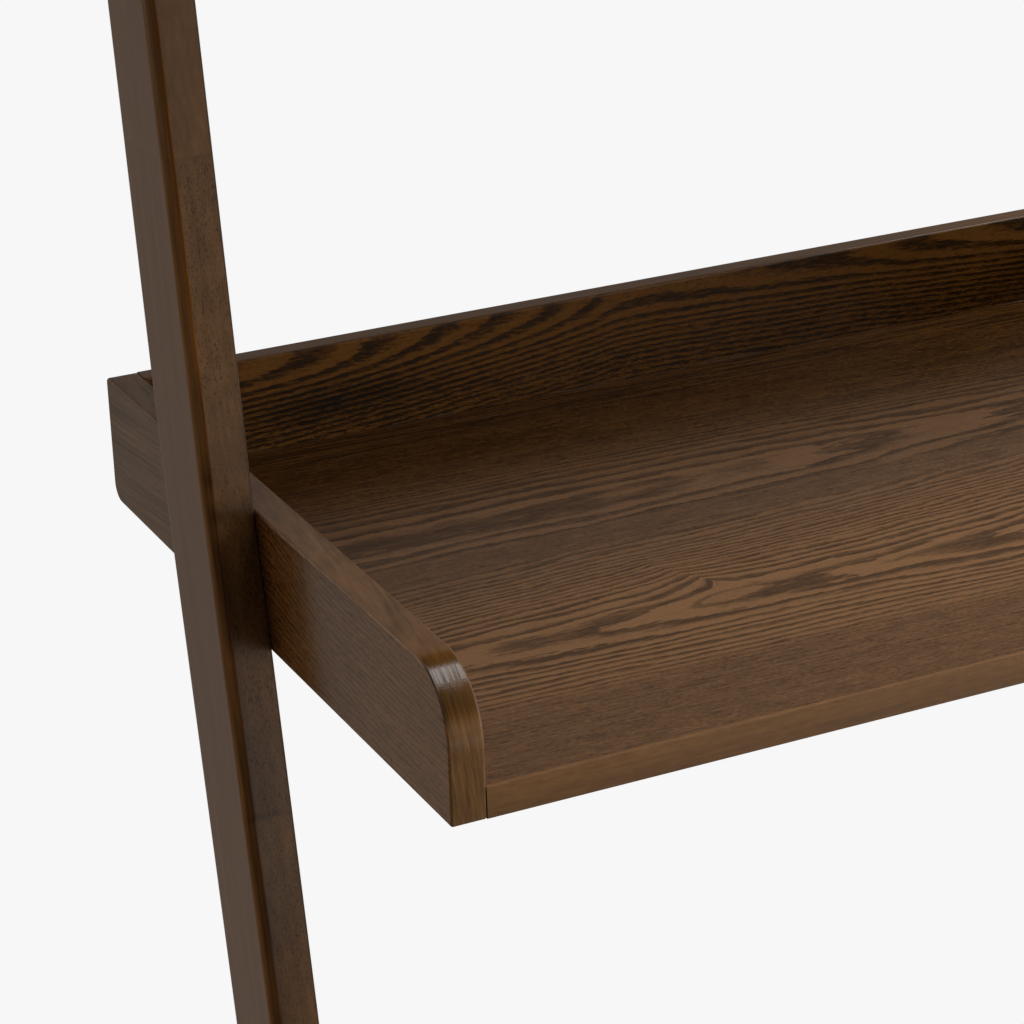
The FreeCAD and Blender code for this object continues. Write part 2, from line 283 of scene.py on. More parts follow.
# The side boards: how the years drop towards the front
SIDE_SWEEP = ((-250, 7.6), (-170, 6.9), (-95, 5.6), (-40, 2.6), (0, 0.9), (60, 0.3), (150, 0.0), (250, 0.5))

# Painted shade round the front corner, by the turn from the top: darkest beside its highlight
CORNER_PAINTED_SHADE = (
    (0.0, 1.0), (0.1, 0.96), (0.18, 0.82), (0.28, 0.6), (0.4, 0.48), (0.55, 0.4), (0.68, 0.44), (0.96, 0.4),
    (1.03, 0.46), (1.1, 0.6), (1.16, 0.76), (1.22, 0.9), (1.32, 1.02), (1.571, 1.05),
)

# The uprights: where the growth changes at their finger joints, and how far it jumps along, into and across
# them from one length to the next
FINGER_JOINTS = (276.0, 647.0, 1018.0, 1389.0)
PIECE_SHIFT = (431.0, 57.0, 23.0)

# Bands of lighter and darker tone on the uprights' front: height, half width and how much lighter. The narrow
# dark band at the side boards' top edge is painted shade, and the wide light band about the tray's underside
# is painted light where the tray shades the front.
UPRIGHT_BANDS = ((908.0, 22.0, 0.12), (848.0, 18.0, -0.2), (821.0, 6.5, -0.5), (726.0, 30.0, 0.62),
                  (590.0, 40.0, -0.12))


def curve(graph, value, points):
    """A smooth curve through (place, height) points."""
    low, high = points[0][0], points[-1][0]
    top = max(height for place, height in points)
    unit = [((place - low) / (high - low), height / top) for place, height in points]
    settings = {"curve": unit}
    share = (value - low) / (high - low)
    return graph.node("ShaderNodeFloatCurve", settings, {"Factor": 1.0, "Value": share}) * top


def bell(graph, value, middle, width):
    """One at the middle, falling away to both sides."""
    away = (value - middle) / width
    return graph.math("EXPONENT", -(away * away))


def tray_place(graph):
    """Place along, across and up within a tray, and whether it is an upper or the highest tray."""
    x, y, z = graph.split(place_in_millimetres(graph))
    desk, middle, top = TRAY_UNDERSIDES
    upper = graph.math("GREATER_THAN", z, middle - BELOW_TRAY)
    highest = graph.math("GREATER_THAN", z, top - BELOW_TRAY)
    return x, y, z - desk - upper * (middle - desk) - highest * (top - middle), upper, highest


def growth_lines(graph, place, years, ragged, roaming=1.0):
    """How dark the growth makes each point, from the years counted across the board."""
    sweep = graph.noise(place, (110.0, 22.0, 60.0), 1.0, 1.0)
    ripple = graph.noise(place, (38.0, 6.0, 60.0), 1.0, 2.0)
    teeth = graph.noise(place, (9.0, 1.2, 60.0), 2.0, 3.0)
    count = years + (sweep * 1.3 + ripple * 0.8 * ragged) * roaming + teeth * 0.5 * ragged
    year = graph.math("FRACT", count)
    return curve(graph, year, GROWTH)


def veneer_darkness(graph, place, lines, clarity, coarse):
    """Growth lines broken into pore dashes, on plain mottled wood where they are unclear."""
    dashes = graph.noise(place, (8.0, 0.9, 60.0), 2.0, 5.0)
    streaks = graph.noise(place, (34.0, 2.4, 60.0), 2.0, 8.0)
    cloud = graph.noise(place, (200.0, 30.0, 60.0), 2.0, 6.0)
    fleck = graph.noise(place, (14.0, 2.6, 60.0), 3.0, 7.0)
    speck = graph.noise(place, (3.2, 1.3, 60.0), 1.0, 10.0)
    plain = 1 - clarity
    dark = lines * (0.9 + streaks * 1.0) * clarity + plain * 0.5
    dark = dark + dashes * (lines * 0.5 + 0.5) + cloud * 0.35 + fleck * (plain * 0.8 + 0.4) * coarse
    return dark + speck * (plain * 0.8 + 0.55) * coarse, dashes + speck * 0.5


def finish_wood(graph, finish, dark, relief, tone, gloss, tint, dust=None):
    """Stain by darkness, then lacquer that sinks a little into the pores."""
    color = graph.mix(dark, (*finish.light_stain, 1), (*finish.dark_stain, 1))
    color = graph.vector("MULTIPLY", graph.scale(color, tone), tint)
    uneven = graph.noise(place_in_millimetres(graph), (45.0, 45.0, 45.0), 3.0, 9.0)
    roughness = dark * 0.07 + uneven * 0.08 + (finish.roughness - 0.03) - gloss
    if dust is not None:
        color = graph.mix(dust, color, (*DUST, 1))
        roughness = roughness + dust * 0.3
    bump = graph.node("ShaderNodeBump", None, {
        "Strength": finish.pore_depth, "Distance": 0.0002, "Height": relief})
    finish_surface(graph, {"Base Color": color, "Roughness": roughness, "Normal": bump})


def panel_veneer(finish):
    """The bottom boards: a plain-sawn leaf with two flame figures and a small knot."""
    material, graph = new_material("panel_veneer")
    x, y, height, upper, highest = tray_place(graph)
    under = graph.math("LESS_THAN", height, BOTTOM_THICKNESS / 2)
    # Each upper tray and each underside shows another stretch of the leaf
    turned = (upper - under) ** 2.0
    x = x + upper * 140.0 + highest * 120.0 - under * 90.0
    y = y * (1 - turned * 2.0) + turned * upper * 60.0
    # The spire of the front flame, over the knot
    knot = (1 - upper) * (1 - under)
    rise = y - SPIRE[1]
    beside = x - SPIRE[0] + rise * 0.55
    cusp = graph.math("EXPONENT", graph.math("ABSOLUTE", beside) / -10.0)
    crest = (bell(graph, beside, 0.0, 34.0) * 0.4 + cusp) * graph.step(rise, -24.0, 4.0) * knot
    across = y - crest * graph.math("EXPONENT", graph.math("MAXIMUM", rise, 0.0) / -26.0) * 9.5
    # The two flames
    front = graph.step(y, -4.0, 20.0, 1.0, 0.0)
    flame = curve(graph, x, FRONT_FLAME) * front + curve(graph, x, REAR_FLAME) * (1 - front)
    years = curve(graph, across, PANEL_YEARS) + flame
    place = graph.join(x, across, height)
    lines = growth_lines(graph, place, years, curve(graph, y, PANEL_RAGGED))
    # The knot
    wobble = graph.noise(place, (16.0, 6.0, 60.0), 2.0, 4.0)
    aside = x - KNOT[0]
    eye = (aside / KNOT_SIZE[0]) ** 2.0 + ((y - KNOT[1] - aside * 0.08) / KNOT_SIZE[1]) ** 2.0 + wobble * 1.6
    inside = graph.step(eye, 0.7, 1.0, 1.0, 0.0) * knot
    rim = graph.step(eye, 0.6, 1.0) * graph.step(eye, 1.2, 1.9, 1.0, 0.0) * knot
    lines = lines * (1 - inside) * (1 - rim) + inside * 0.12 + rim * 0.75
    # The quiet, mottled rear, with a few clear lines at its end
    rear = graph.step(y, 20.0, 190.0)
    mottled = graph.step(y, 95.0, 130.0)
    dark, dashes = veneer_darkness(graph, place, lines, curve(graph, y, PANEL_CLARITY), 1 + mottled * 0.2)
    comb = graph.noise(graph.join(x, y + x * 0.012, height), (120.0, 3.4, 60.0), 2.0, 28.0)
    speckle = graph.noise(graph.join(x, y, height), (4.4, 2.4, 60.0), 2.0, 32.0)
    lined = graph.step(y, 188.0, 214.0)
    dark = dark + ((dark - 0.5) * 0.5 + comb * (lined * 4.0 + 1.4) + speckle * 1.8) * mottled
    tint = graph.join(1.0, 1 - rear * 0.14, 1 - rear * 0.52)
    # Dust in the seam to the back, and specks
    drift = graph.noise(graph.join(x, y, height), (34.0, 30.0, 30.0), 3.0, 18.0)
    seam = graph.step(y + drift * 2.0, BACK_FRONT - 1.4, BACK_FRONT - 0.4) * graph.step(drift, -0.1, 0.1)
    grit = graph.noise(graph.join(x, y, height), (1.6, 1.6, 1.6), 1.0, 19.0)
    specks = graph.step(grit + drift * 0.2, 0.29, 0.33) * mottled * graph.step(x, -60.0, 140.0)
    dust = (seam * 0.7 + specks * 0.5) * (1 - upper) * (1 - under)
    relief = (dashes - dark * 0.3) * (1 - mottled * 0.93)
    finish_wood(graph, finish, dark, relief, curve(graph, y, PANEL_TONE), 0.0, tint, dust)
    return material


def back_veneer(finish):
    """The back boards: arches that run out of the top edge over even lines."""
    material, graph = new_material("back_veneer")
    x, y, height, upper, highest = tray_place(graph)
    behind = graph.math("GREATER_THAN", y, BACK_FRONT + 7.0)
    x = x * (1 - upper * 2.0) + highest * 90.0 + behind * 160.0
    years = curve(graph, height, BACK_YEARS) + curve(graph, x, BACK_FLAME)
    place = graph.join(x, height, y)
    low = graph.step(height, 20.0, 55.0, 1.0, 0.0)
    lines = growth_lines(graph, place, years - 0.08, 0.8 + low * 0.8, 0.36 + low * 0.2)
    stain = bell(graph, x, -225.0, 70.0) * bell(graph, height, 42.0, 12.0) * (1 - upper)
    dark, dashes = veneer_darkness(graph, place, lines, 0.94 - low * 0.22, 2.0)
    hatch = graph.noise(place, (11.0, 0.7, 60.0), 1.0, 30.0)
    dark = dark + hatch * (0.5 + lines * 1.3)
    # The strip that caps the top edge
    capping = graph.step(height, TRAY_HEIGHT - 0.7, TRAY_HEIGHT - 0.3)
    strip = graph.join(x, y, height)
    cap = 0.38 + graph.noise(strip, (60.0, 2.0, 9.0), 3.0, 17.0) * 0.9
    dark = dark * (1.12 + low * 0.08) + 0.02 + low * graph.step(x, -60.0, 160.0, 0.06, 0.05) + stain * 0.5
    dark = dark * (1 - capping) + cap * capping
    sunk = graph.step(dark, 0.6, 1.25) * (1 - capping)
    tint = graph.join(1.0, 0.88 + capping * 0.1 + sunk * 0.16, 0.5 + capping * 0.42 + sunk * 0.42)
    tone = 0.75 - stain * 0.25 - capping * 0.03 - sunk * 0.38
    finish_wood(graph, finish, dark, dashes - lines * 0.3, tone, 0.05, tint)
    return material


def side_veneer(finish):
    """The side boards: quiet lines that sweep down towards the front, and a banded edge."""
    material, graph = new_material("side_veneer")
    x, y, height, upper = tray_place(graph)[:4]
    depth = graph.math("ABSOLUTE", x)
    inner = graph.math("LESS_THAN", depth, INNER_FACE + 8.0)
    right = graph.math("GREATER_THAN", x, 0.0)
    sweep = curve(graph, y - upper * 110.0, SIDE_SWEEP) * (0.35 + height * 0.009)
    rear = graph.step(y, -20.0, 60.0)
    years = height / 4.6 + sweep + right * 3.4 + inner * 5.3 + upper * 2.7
    place = graph.join(y + right * 77.0 + inner * 140.0, height + sweep * 4.6, x)
    lines = growth_lines(graph, place, years, 1.5 - rear * 0.9, 1 - rear * 0.5)
    dark, dashes = veneer_darkness(graph, place, lines, 0.24, 0.5)
    # Fine plain lines at the rear
    slant = height + y * 0.1
    hatch = graph.noise(graph.join(y, slant, x), (110.0, 2.3, 60.0), 2.0, 20.0)
    drift = graph.noise(graph.join(y, slant, x), (90.0, 9.0, 60.0), 3.0, 29.0)
    plain = 0.5 + hatch * 1.7 + drift * 0.35 + graph.step(y + height, 225.0, 320.0, 0.0, 0.16)
    dark = dark * (1 - rear * 0.75) + rear * 0.75 * plain
    # The strip on the edge, and the rounded edges beside it at the corner
    band = graph.step(depth, INNER_FACE + 0.4, INNER_FACE + 0.8)
    band = band * graph.step(depth, OUTER_FACE - 0.8, OUTER_FACE - 0.4, 1.0, 0.0)
    ahead = graph.math("MAXIMUM", CORNER_MIDDLE[0] - y, 0.0)
    aloft = graph.math("MAXIMUM", height - CORNER_MIDDLE[1], 0.0)
    rim = graph.step((ahead * ahead + aloft * aloft) ** 0.5, CORNER_RADIUS - 2.0, CORNER_RADIUS - 1.2)
    flat = graph.step(depth, INNER_FACE + 1.0, INNER_FACE + 1.8)
    fold = rim * (1 - flat * graph.step(depth, OUTER_FACE - 1.8, OUTER_FACE - 1.0, 1.0, 0.0))
    along = y - height
    strip = graph.join(along, depth + along * 0.12, height * 0.2)
    streak = graph.noise(strip, (34.0, 2.2, 40.0), 3.0, 11.0)
    broad = graph.noise(strip, (24.0, 9.0, 40.0), 2.0, 12.0)
    fine = graph.noise(strip, (9.0, 0.7, 40.0), 2.0, 13.0)
    front = graph.step(y, TRAY_FRONT + 12.0, TRAY_FRONT + 36.0, 1.0, 0.0) * band
    bow = graph.math("ARCTAN2", ahead, aloft)
    turned = graph.step(bow, 0.1, 0.3) * graph.step(bow, 1.1, 1.3, 1.0, 0.0)
    edge = 0.42 + (streak * 1.4 + broad * 1.1 + fine * 0.8) * (0.7 + front * 0.35 + turned * 0.5)
    dark = edge * band + dark * (1 - band)
    # The outer face, with painted shade just in front of the upright, which stands out beyond it
    outer = (1 - inner) * (1 - band)
    upright_shade = outer * graph.step(y, -85.0, -20.0) * (1 - rear)
    dark = dark + upright_shade * ((dark - 0.5) * 0.7 + 0.05)
    # Painted light: the outer face is made lighter towards the front
    tone = 1 - band * 0.24 + front * 0.41 + outer * graph.step(y, -190.0, -60.0, 0.22, 0.0) - upright_shade * 0.18
    # Painted light along the rounded outer edge near the front, and painted shade along the rounded inner
    # edge
    corner = graph.step(y, TRAY_FRONT + 14.0, TRAY_FRONT + 24.0, 1.0, 0.0)
    tone = tone + fold * corner * graph.step(depth, 360.0, 365.0, -0.2, 0.3)
    # Painted shade: beside its highlight the front corner is darker and more orange, as where it mirrors the
    # dark underside of the tray above
    corner_shade_tint = bell(graph, y, -222.0, 9.0) * band
    tone = tone * (curve(graph, bow, CORNER_PAINTED_SHADE) * band + 1 - band) - outer * rear * 0.08
    green = 1 - front * 0.02 - corner_shade_tint * 0.1 - upright_shade * 0.24
    blue = 1 - front * 0.24 - corner_shade_tint * 0.4 - outer * rear * 0.2 - upright_shade * 0.46
    tint = graph.join(1.0, green, blue)
    dulled = bell(graph, bow, 0.62, 0.2) * (streak * 0.5 + fine * 0.4 + 0.18)
    dulled = dulled - bell(graph, bow, 1.29, 0.09) * 0.08
    gloss = 0.13 - band * (streak * 0.3 + fine * 0.2 - front * 0.03 + dulled)
    gloss = gloss - fold * 0.42 - outer * rear * 0.1
    finish_wood(graph, finish, dark, dashes, tone, gloss, tint)
    return material


def lipping_wood(finish):
    """The front strips of the bottom boards: solid, paler and mottled along the strip."""
    material, graph = new_material("lipping_wood")
    x, y, height, upper, highest = tray_place(graph)
    strip = graph.join(x + upper * 210.0 + highest * 95.0, height, y)
    streak = graph.noise(strip, (60.0, 2.2, 3.0), 3.0, 14.0)
    mottle = graph.noise(strip, (10.0, 3.5, 6.0), 3.0, 15.0)
    fine = graph.noise(strip, (5.0, 0.5, 1.0), 2.0, 16.0)
    dark = 0.2 + streak * 0.7 + mottle * 0.55 + fine * 0.5
    top = graph.step(height, BOTTOM_THICKNESS - 0.9, BOTTOM_THICKNESS - 0.3)
    # Painted highlight: the front face is made lighter towards its rounded top edge
    tone = (0.98 + graph.step(height, 2.0, 16.0) * 0.32) * (1 - top * 0.3)
    edge = graph.step(height, BOTTOM_THICKNESS - 1.4, BOTTOM_THICKNESS - 0.7) * (1 - upper)
    edge = edge * graph.step(y, TRAY_FRONT + 1.6, TRAY_FRONT + 2.2, 1.0, 0.0)
    gloss = 0.06 - top * 0.2 - edge * 0.35
    finish_wood(graph, finish, dark + top * 0.15, fine, tone * 1.06, gloss, (1.0, 0.98, 0.84))
    return material


def solid_wood(graph, finish, place, pore_share, mottled, tone=1.0, gloss=0.0, tint=(1.0, 1.0, 1.0)):
    """Plain solid wood with short pore dashes, from its place along, across and into the grain."""
    grain = graph.noise(place, (130.0, 5.0, 7.0), 3.0, 21.0)
    broad = graph.noise(place, (260.0, 26.0, 30.0), 2.0, 22.0)
    dashes = graph.noise(place, (1.9, 0.75, 0.85), 1.0, 23.0)
    fine = graph.noise(place, (6.0, 0.8, 0.9), 2.0, 24.0)
    mottle = graph.noise(place, (15.0, 3.6, 4.0), 3.0, 26.0) * mottled
    crowd = graph.noise(place, (90.0, 12.0, 12.0), 2.0, 25.0)
    limit = 0.06 - crowd * 0.2
    pores = graph.step(dashes - limit, 0.0, 0.1) * pore_share
    dark = 0.36 + grain * 0.5 + broad * 0.5 + fine * (pore_share * 0.4 + 0.1) + mottle * 0.7 + pores * 0.4
    finish_wood(graph, finish, dark, pores * -0.15, tone, gloss, tint)


def upright_wood(finish):
    """The uprights: solid wood jointed end to end, with pores that show on the front and rear."""
    material, graph = new_material("upright_wood")
    x, y, z = graph.split(place_in_millimetres(graph))
    above = graph.math("MAXIMUM", z - BEND_HEIGHT, 0.0)
    below = graph.math("MINIMUM", z - BEND_HEIGHT, 0.0)
    across = y - above * LEAN_ABOVE - below * LEAN_BELOW
    upright = y - above * FRONT_LEAN_ABOVE - below * LEAN_BELOW
    behind = upright - FRONT_AT_BEND
    inward = OUTSIDE - graph.math("ABSOLUTE", x)
    # Which length of wood this is, and its own figure
    length = 0.0
    for height in FINGER_JOINTS:
        length = graph.math("GREATER_THAN", z + across * 0.06, height) + length
    right = graph.math("GREATER_THAN", x, 0.0)
    piece = length + right * 7.0
    along, deep, wide = [piece * shift for shift in PIECE_SHIFT]
    place = graph.join(z + along, across + wide, x + deep + (z - BEND_HEIGHT) * 0.035)
    # The rounded outer front edge, where stain ran thin or pooled and painted light evens out its shading,
    # and the sharp inner edge
    sanded_lit_round = graph.step(inward, 5.6, 6.6, 1.0, 0.0) * graph.step(behind, 4.0, 5.6, 1.0, 0.0)
    facing = (inward - behind) / 12.0 + 0.5
    wisp = graph.noise(graph.join(x, upright, z), (1.6, 1.6, 45.0), 2.0, 33.0)
    pooled = bell(graph, facing + wisp * 0.1, 0.9, 0.085) * graph.step(behind, 1.6, 2.4, 1.0, 0.0)
    # Painted shade along the sharp inner edge, to dull its glint; the edge is also rougher
    inner_edge_shade = graph.step(inward, 26.4, 27.2) * graph.step(behind, 0.8, 1.4, 1.0, 0.0)
    # Pores open on the front and the rear
    open_face = 1 - graph.step(across, 5.0, 9.0) * graph.step(across, 66.0, 70.0, 1.0, 0.0) * 0.8
    open_face = open_face * (1 - sanded_lit_round * 0.85)
    pore_share = open_face * graph.step(z, 1010.0, 1022.0, 1.0, 0.35)
    # Marks, bands of tone, and painted light and shade
    smudge = bell(graph, z, BEND_HEIGHT + 14.0, 6.0) * sanded_lit_round * (1 - right)
    wander = graph.noise(graph.join(x, y, z), (9.0, 9.0, 30.0), 2.0, 27.0)
    mark = bell(graph, z + wander * 14.0, 648.0, 2.4) * graph.step(behind, 1.0, 4.0, 1.0, 0.0) * (1 - right)
    tone = 1.0 + graph.math("SINE", piece * 2.3) * 0.035 - smudge * 0.33 - mark * 0.22
    # Painted light: the round is lightened, most on its part that faces out to the side
    tone = tone + sanded_lit_round * (0.44 - facing * 0.3 + wisp * 1.3)
    # Painted light: below the tray the front is lighter towards its inner side
    bands_and_shading = graph.step(z, 725.0, 740.0, 1.0, 0.0) * (inward - 19.0) * 0.018
    for height, width, change in UPRIGHT_BANDS:
        bands_and_shading = bell(graph, z, height, width) * change + bands_and_shading
    # Painted shade beside the side board, on the outer part of the front
    nook_shade = graph.step(z, 742.0, 754.0) * graph.step(z, 800.0, 815.0, 1.0, 0.0)
    bands_and_shading = bands_and_shading - nook_shade * graph.step(inward, 7.0, 15.0, 0.3, 0.0)
    frontal = graph.step(behind, 1.2, 3.0, 1.0, 0.0)
    tone = tone + bands_and_shading * frontal - pooled * 0.35 - inner_edge_shade * 0.5 - graph.step(z, 1010.0, 1026.0, 0.0, 0.09)
    tone = graph.math("MAXIMUM", tone, 0.34)
    tint = graph.join(1.0, 1 - sanded_lit_round * 0.08 - pooled * 0.24, 1 - sanded_lit_round * 0.16 - pooled * 0.6)
    solid_wood(graph, finish, place, pore_share, open_face, tone, 0.12 - inner_edge_shade * 0.5, tint)
    return material


def rail_wood(finish):
    """The cross rail: solid wood along its length."""
    material, graph = new_material("rail_wood")
    x, y, z = graph.split(place_in_millimetres(graph))
    solid_wood(graph, finish, graph.join(x, z, y), 0.8, 0.8)
    return material


def dowel_wood():
    """Dowels: pale beech, unstained."""
    material, graph = new_material("dowel_wood")
    ray = graph.noise(place_in_millimetres(graph), (4.0, 2.0, 2.0), 3.0, 31.0)
    color = graph.mix(0.5 + ray, (0.62, 0.42, 0.23, 1), (0.4, 0.24, 0.11, 1))
    finish_surface(graph, {"Base Color": color, "Roughness": 0.55 + ray * 0.2})
    return material


def plated_metal(name, color, tint, roughness, metallic=1.0):
    """Metal hardware with handling marks and fine turning lines."""
    material, graph = new_material(name)
    place = place_in_millimetres(graph)
    cloud = graph.noise(place, (6.0, 6.0, 6.0), 4.0, 41.0)
    scratch = graph.noise(place, (14.0, 0.4, 0.4), 2.0, 42.0)
    shade = graph.mix(0.5 + cloud * 1.6, (*color, 1), (*tint, 1))
    bump = graph.node("ShaderNodeBump", None, {
        "Strength": 0.2, "Distance": 0.0001, "Height": scratch + cloud * 0.5})
    finish_surface(graph, {
        "Base Color": shade, "Metallic": metallic, "Roughness": roughness + cloud * 0.16 + scratch * 0.12,
        "Normal": bump})
    return material


def black_steel():
    """One black finish for every bolt and screw."""
    if "black_steel" in bpy.data.materials:
        return bpy.data.materials["black_steel"]
    return plated_metal("black_steel", (0.035, 0.034, 0.033), (0.075, 0.07, 0.065), 0.36, 0.8)


def zinc():
    """One zinc plating for every plated piece."""
    if "zinc_steel" in bpy.data.materials:
        return bpy.data.materials["zinc_steel"]
    return plated_metal("zinc_steel", (0.6, 0.6, 0.58), (0.42, 0.43, 0.42), 0.32)


def speckled_coat(name, color, roughness, grain, depth):
    """Paint or moulded plastic with a fine skin."""
    material, graph = new_material(name)
    place = place_in_millimetres(graph)
    skin = graph.noise(place, (grain, grain, grain), 2.0, 51.0)
    cloud = graph.noise(place, (18.0, 18.0, 18.0), 3.0, 52.0)
    dusty = tuple(part * 1.7 + 0.004 for part in color)
    shade = graph.mix(0.4 + cloud * 1.1 + skin * 0.4, (*color, 1), (*dusty, 1))
    bump = graph.node("ShaderNodeBump", None, {"Strength": depth, "Distance": 0.0002, "Height": skin})
    finish_surface(graph, {
        "Base Color": shade, "Roughness": roughness + cloud * 0.12 + skin * 0.08, "Normal": bump})
    return material


# Threaded pieces

# Corners round a turned piece, and rings along one turn of its thread
AROUND = 36
RINGS_PER_TURN = 4
# Points closer than this, in metres, are one, and edges that turn less than this, in radians, look smooth
SAME_POINT = 0.000004
SMOOTH_TURN = 0.6
# From the middle of a six-sided shape to its corner, and to a rim just inside its flats, as a share of its
# width over the flats
SIX_SIDED_CORNER = 0.578
SIX_SIDED_RIM = 0.49


class ShapeGraph(Graph):
    """A tree of geometry nodes with named sizes, in metres."""

    def __init__(self, name, sizes):
        super().__init__(bpy.data.node_groups.new(name, "GeometryNodeTree"))
        sockets = self.tree.interface
        sockets.new_socket("Geometry", in_out="OUTPUT", socket_type="NodeSocketGeometry")
        sockets.new_socket("Geometry", in_out="INPUT", socket_type="NodeSocketGeometry")
        for size in sizes:
            sockets.new_socket(size, in_out="INPUT", socket_type="NodeSocketFloat")
        sockets.new_socket("Material", in_out="INPUT", socket_type="NodeSocketMaterial")
        self.group = self.tree.nodes.new("NodeGroupInput")

    def size(self, name):
        return Socket(self, self.group.outputs[name])

    def pick(self, index, values):
        """The value that the index points to."""
        made = self.tree.nodes.new("GeometryNodeIndexSwitch")
        made.data_type = "FLOAT"
        while len(made.index_switch_items) < len(values):
            made.index_switch_items.new()
        for socket, value in zip(made.inputs, (index, *values)):
            if isinstance(value, Socket):
                self.tree.links.new(value.link, socket)
            else:
                socket.default_value = value
        return Socket(self, made.outputs[0])


def turned_piece(graph, rows, thread, tip):
    """A piece turned about its own axis: rows of radius, height and six-sidedness, a thread, and a tip."""
    radius, top, bottom, pitch, depth = thread
    rings = graph.math("CEIL", (top - bottom) / pitch * RINGS_PER_TURN)
    total = rings + (len(rows) + len(tip))
    grid = graph.node("GeometryNodeMeshGrid", None, {
        "Size X": total - 1, "Size Y": float(AROUND), "Vertices X": total, "Vertices Y": AROUND + 1})
    place = graph.split(graph.node("GeometryNodeInputPosition"))
    ring = graph.math("ROUND", place[0] + (total - 1) / 2)
    turn = (place[1] + AROUND / 2) * (2 * math.pi / AROUND)
    height = top + (bottom - top) * ((ring - len(rows)) / (rings - 1))
    phase = height / pitch - turn / (2 * math.pi)
    threaded = radius - graph.math("PINGPONG", phase, 0.5) * 2 * depth
    first = graph.math("MINIMUM", ring, len(rows))
    index = first + graph.math("MAXIMUM", ring - rings - (len(rows) - 1), 0.0)
    stations = (*rows, (threaded, height, 0.0), *tip)
    reach, level, sided = [graph.pick(index, values) for values in zip(*stations)]
    flat = graph.math("COSINE", graph.math("PINGPONG", turn + math.pi / 6, math.pi / 6))
    reach = reach * (1 - sided + sided / flat)
    point = graph.join(reach * graph.math("COSINE", turn), reach * graph.math("SINE", turn), level)
    shape = graph.node("GeometryNodeSetPosition", None, {"Geometry": grid, "Position": point})
    shape = graph.node("GeometryNodeMergeByDistance", None, {"Geometry": shape, "Distance": SAME_POINT})
    shape = graph.node("GeometryNodeSetShadeSmooth", {"domain": "FACE"}, {0: shape, "Shade Smooth": True})
    angle = graph.node("GeometryNodeInputMeshEdgeAngle")
    soft = graph.math("LESS_THAN", angle, SMOOTH_TURN)
    return graph.node("GeometryNodeSetShadeSmooth", {"domain": "EDGE"}, {0: shape, "Shade Smooth": soft})


def set_on_points(graph, piece):
    """Sets the piece on every point, its head turned out to the sides, and gives it its material."""
    points = Socket(graph, graph.group.outputs["Geometry"])
    x = graph.split(graph.node("GeometryNodeInputPosition"))[0]
    euler = graph.join(graph.size("Tip"), graph.size("Swing") * graph.math("SIGN", x), 0.0)
    way = graph.node("FunctionNodeEulerToRotation", None, {0: euler})
    pieces = graph.node("GeometryNodeInstanceOnPoints", None, {
        "Points": points, "Instance": piece, "Rotation": way})
    spin = graph.node("FunctionNodeRandomValue", {"data_type": "FLOAT"}, {
        2: 0.0, 3: graph.size("Spin"), "Seed": 3}, 1)
    spin = graph.node("FunctionNodeEulerToRotation", None, {0: graph.join(0.0, 0.0, spin)})
    pieces = graph.node("GeometryNodeRotateInstances", None, {
        "Instances": pieces, "Rotation": spin, "Local Space": True})
    real = graph.node("GeometryNodeRealizeInstances", None, {0: pieces})
    real = graph.node("GeometryNodeSetMaterial", None, {0: real, "Material": graph.size("Material")})
    end = graph.tree.nodes.new("NodeGroupOutput")
    graph.tree.links.new(real.link, end.inputs[0])
    return graph.tree


def bolt_tree():
    """A bolt with a wide flat head, a six-sided socket and a thread."""
    sizes = ("Head radius", "Head height", "Socket width", "Socket depth", "Edge", "Radius", "Length",
             "Pitch", "Thread depth", "Tip", "Swing", "Spin")
    graph = ShapeGraph("bolt", sizes)
    head, height, width, depth, edge, radius, length, pitch, cut = [graph.size(name) for name in sizes[:9]]
    under = -height
    end = under - length
    rows = (
        (0.0, -depth, 0.0),
        (width / 2, -depth, 1.0),
        (width / 2, edge * -0.5, 1.0),
        (width * SIX_SIDED_CORNER + edge * 0.5, 0.0, 0.0),
        (head - edge, 0.0, 0.0),
        (head - edge * 0.3, edge * -0.3, 0.0),
        (head, -edge, 0.0),
        (head, under + edge * 0.2, 0.0),
        (head - edge * 0.2, under, 0.0),
        (radius - cut, under, 0.0),
    )
    tip = ((radius - cut, end, 0.0), (0.0, end, 0.0))
    piece = turned_piece(graph, rows, (radius, under - edge, end + edge, pitch, cut), tip)
    return set_on_points(graph, piece)


def foot_tree():
    """A foot's stem: a plain neck, a six-sided collar and a thread."""
    sizes = ("Neck height", "Collar width", "Collar height", "Edge", "Radius", "Length", "Pitch",
             "Thread depth", "Tip", "Swing", "Spin")
    graph = ShapeGraph("foot_stem", sizes)
    neck, width, collar, edge, radius, length, pitch, cut = [graph.size(name) for name in sizes[:8]]
    under = -neck
    upper = under - collar
    end = -length
    rows = (
        (0.0, 0.0, 0.0),
        (radius - edge, 0.0, 0.0),
        (radius, -edge, 0.0),
        (radius, under, 0.0),
        (width * SIX_SIDED_RIM, under, 0.0),
        (width / 2, under - edge, 1.0),
        (width / 2, upper + edge, 1.0),
        (width * SIX_SIDED_RIM, upper, 0.0),
        (radius - cut, upper, 0.0),
    )
    tip = ((radius - cut, end, 0.0), (0.0, end, 0.0))
    piece = turned_piece(graph, rows, (radius, upper - edge, end + edge, pitch, cut), tip)
    return set_on_points(graph, piece)


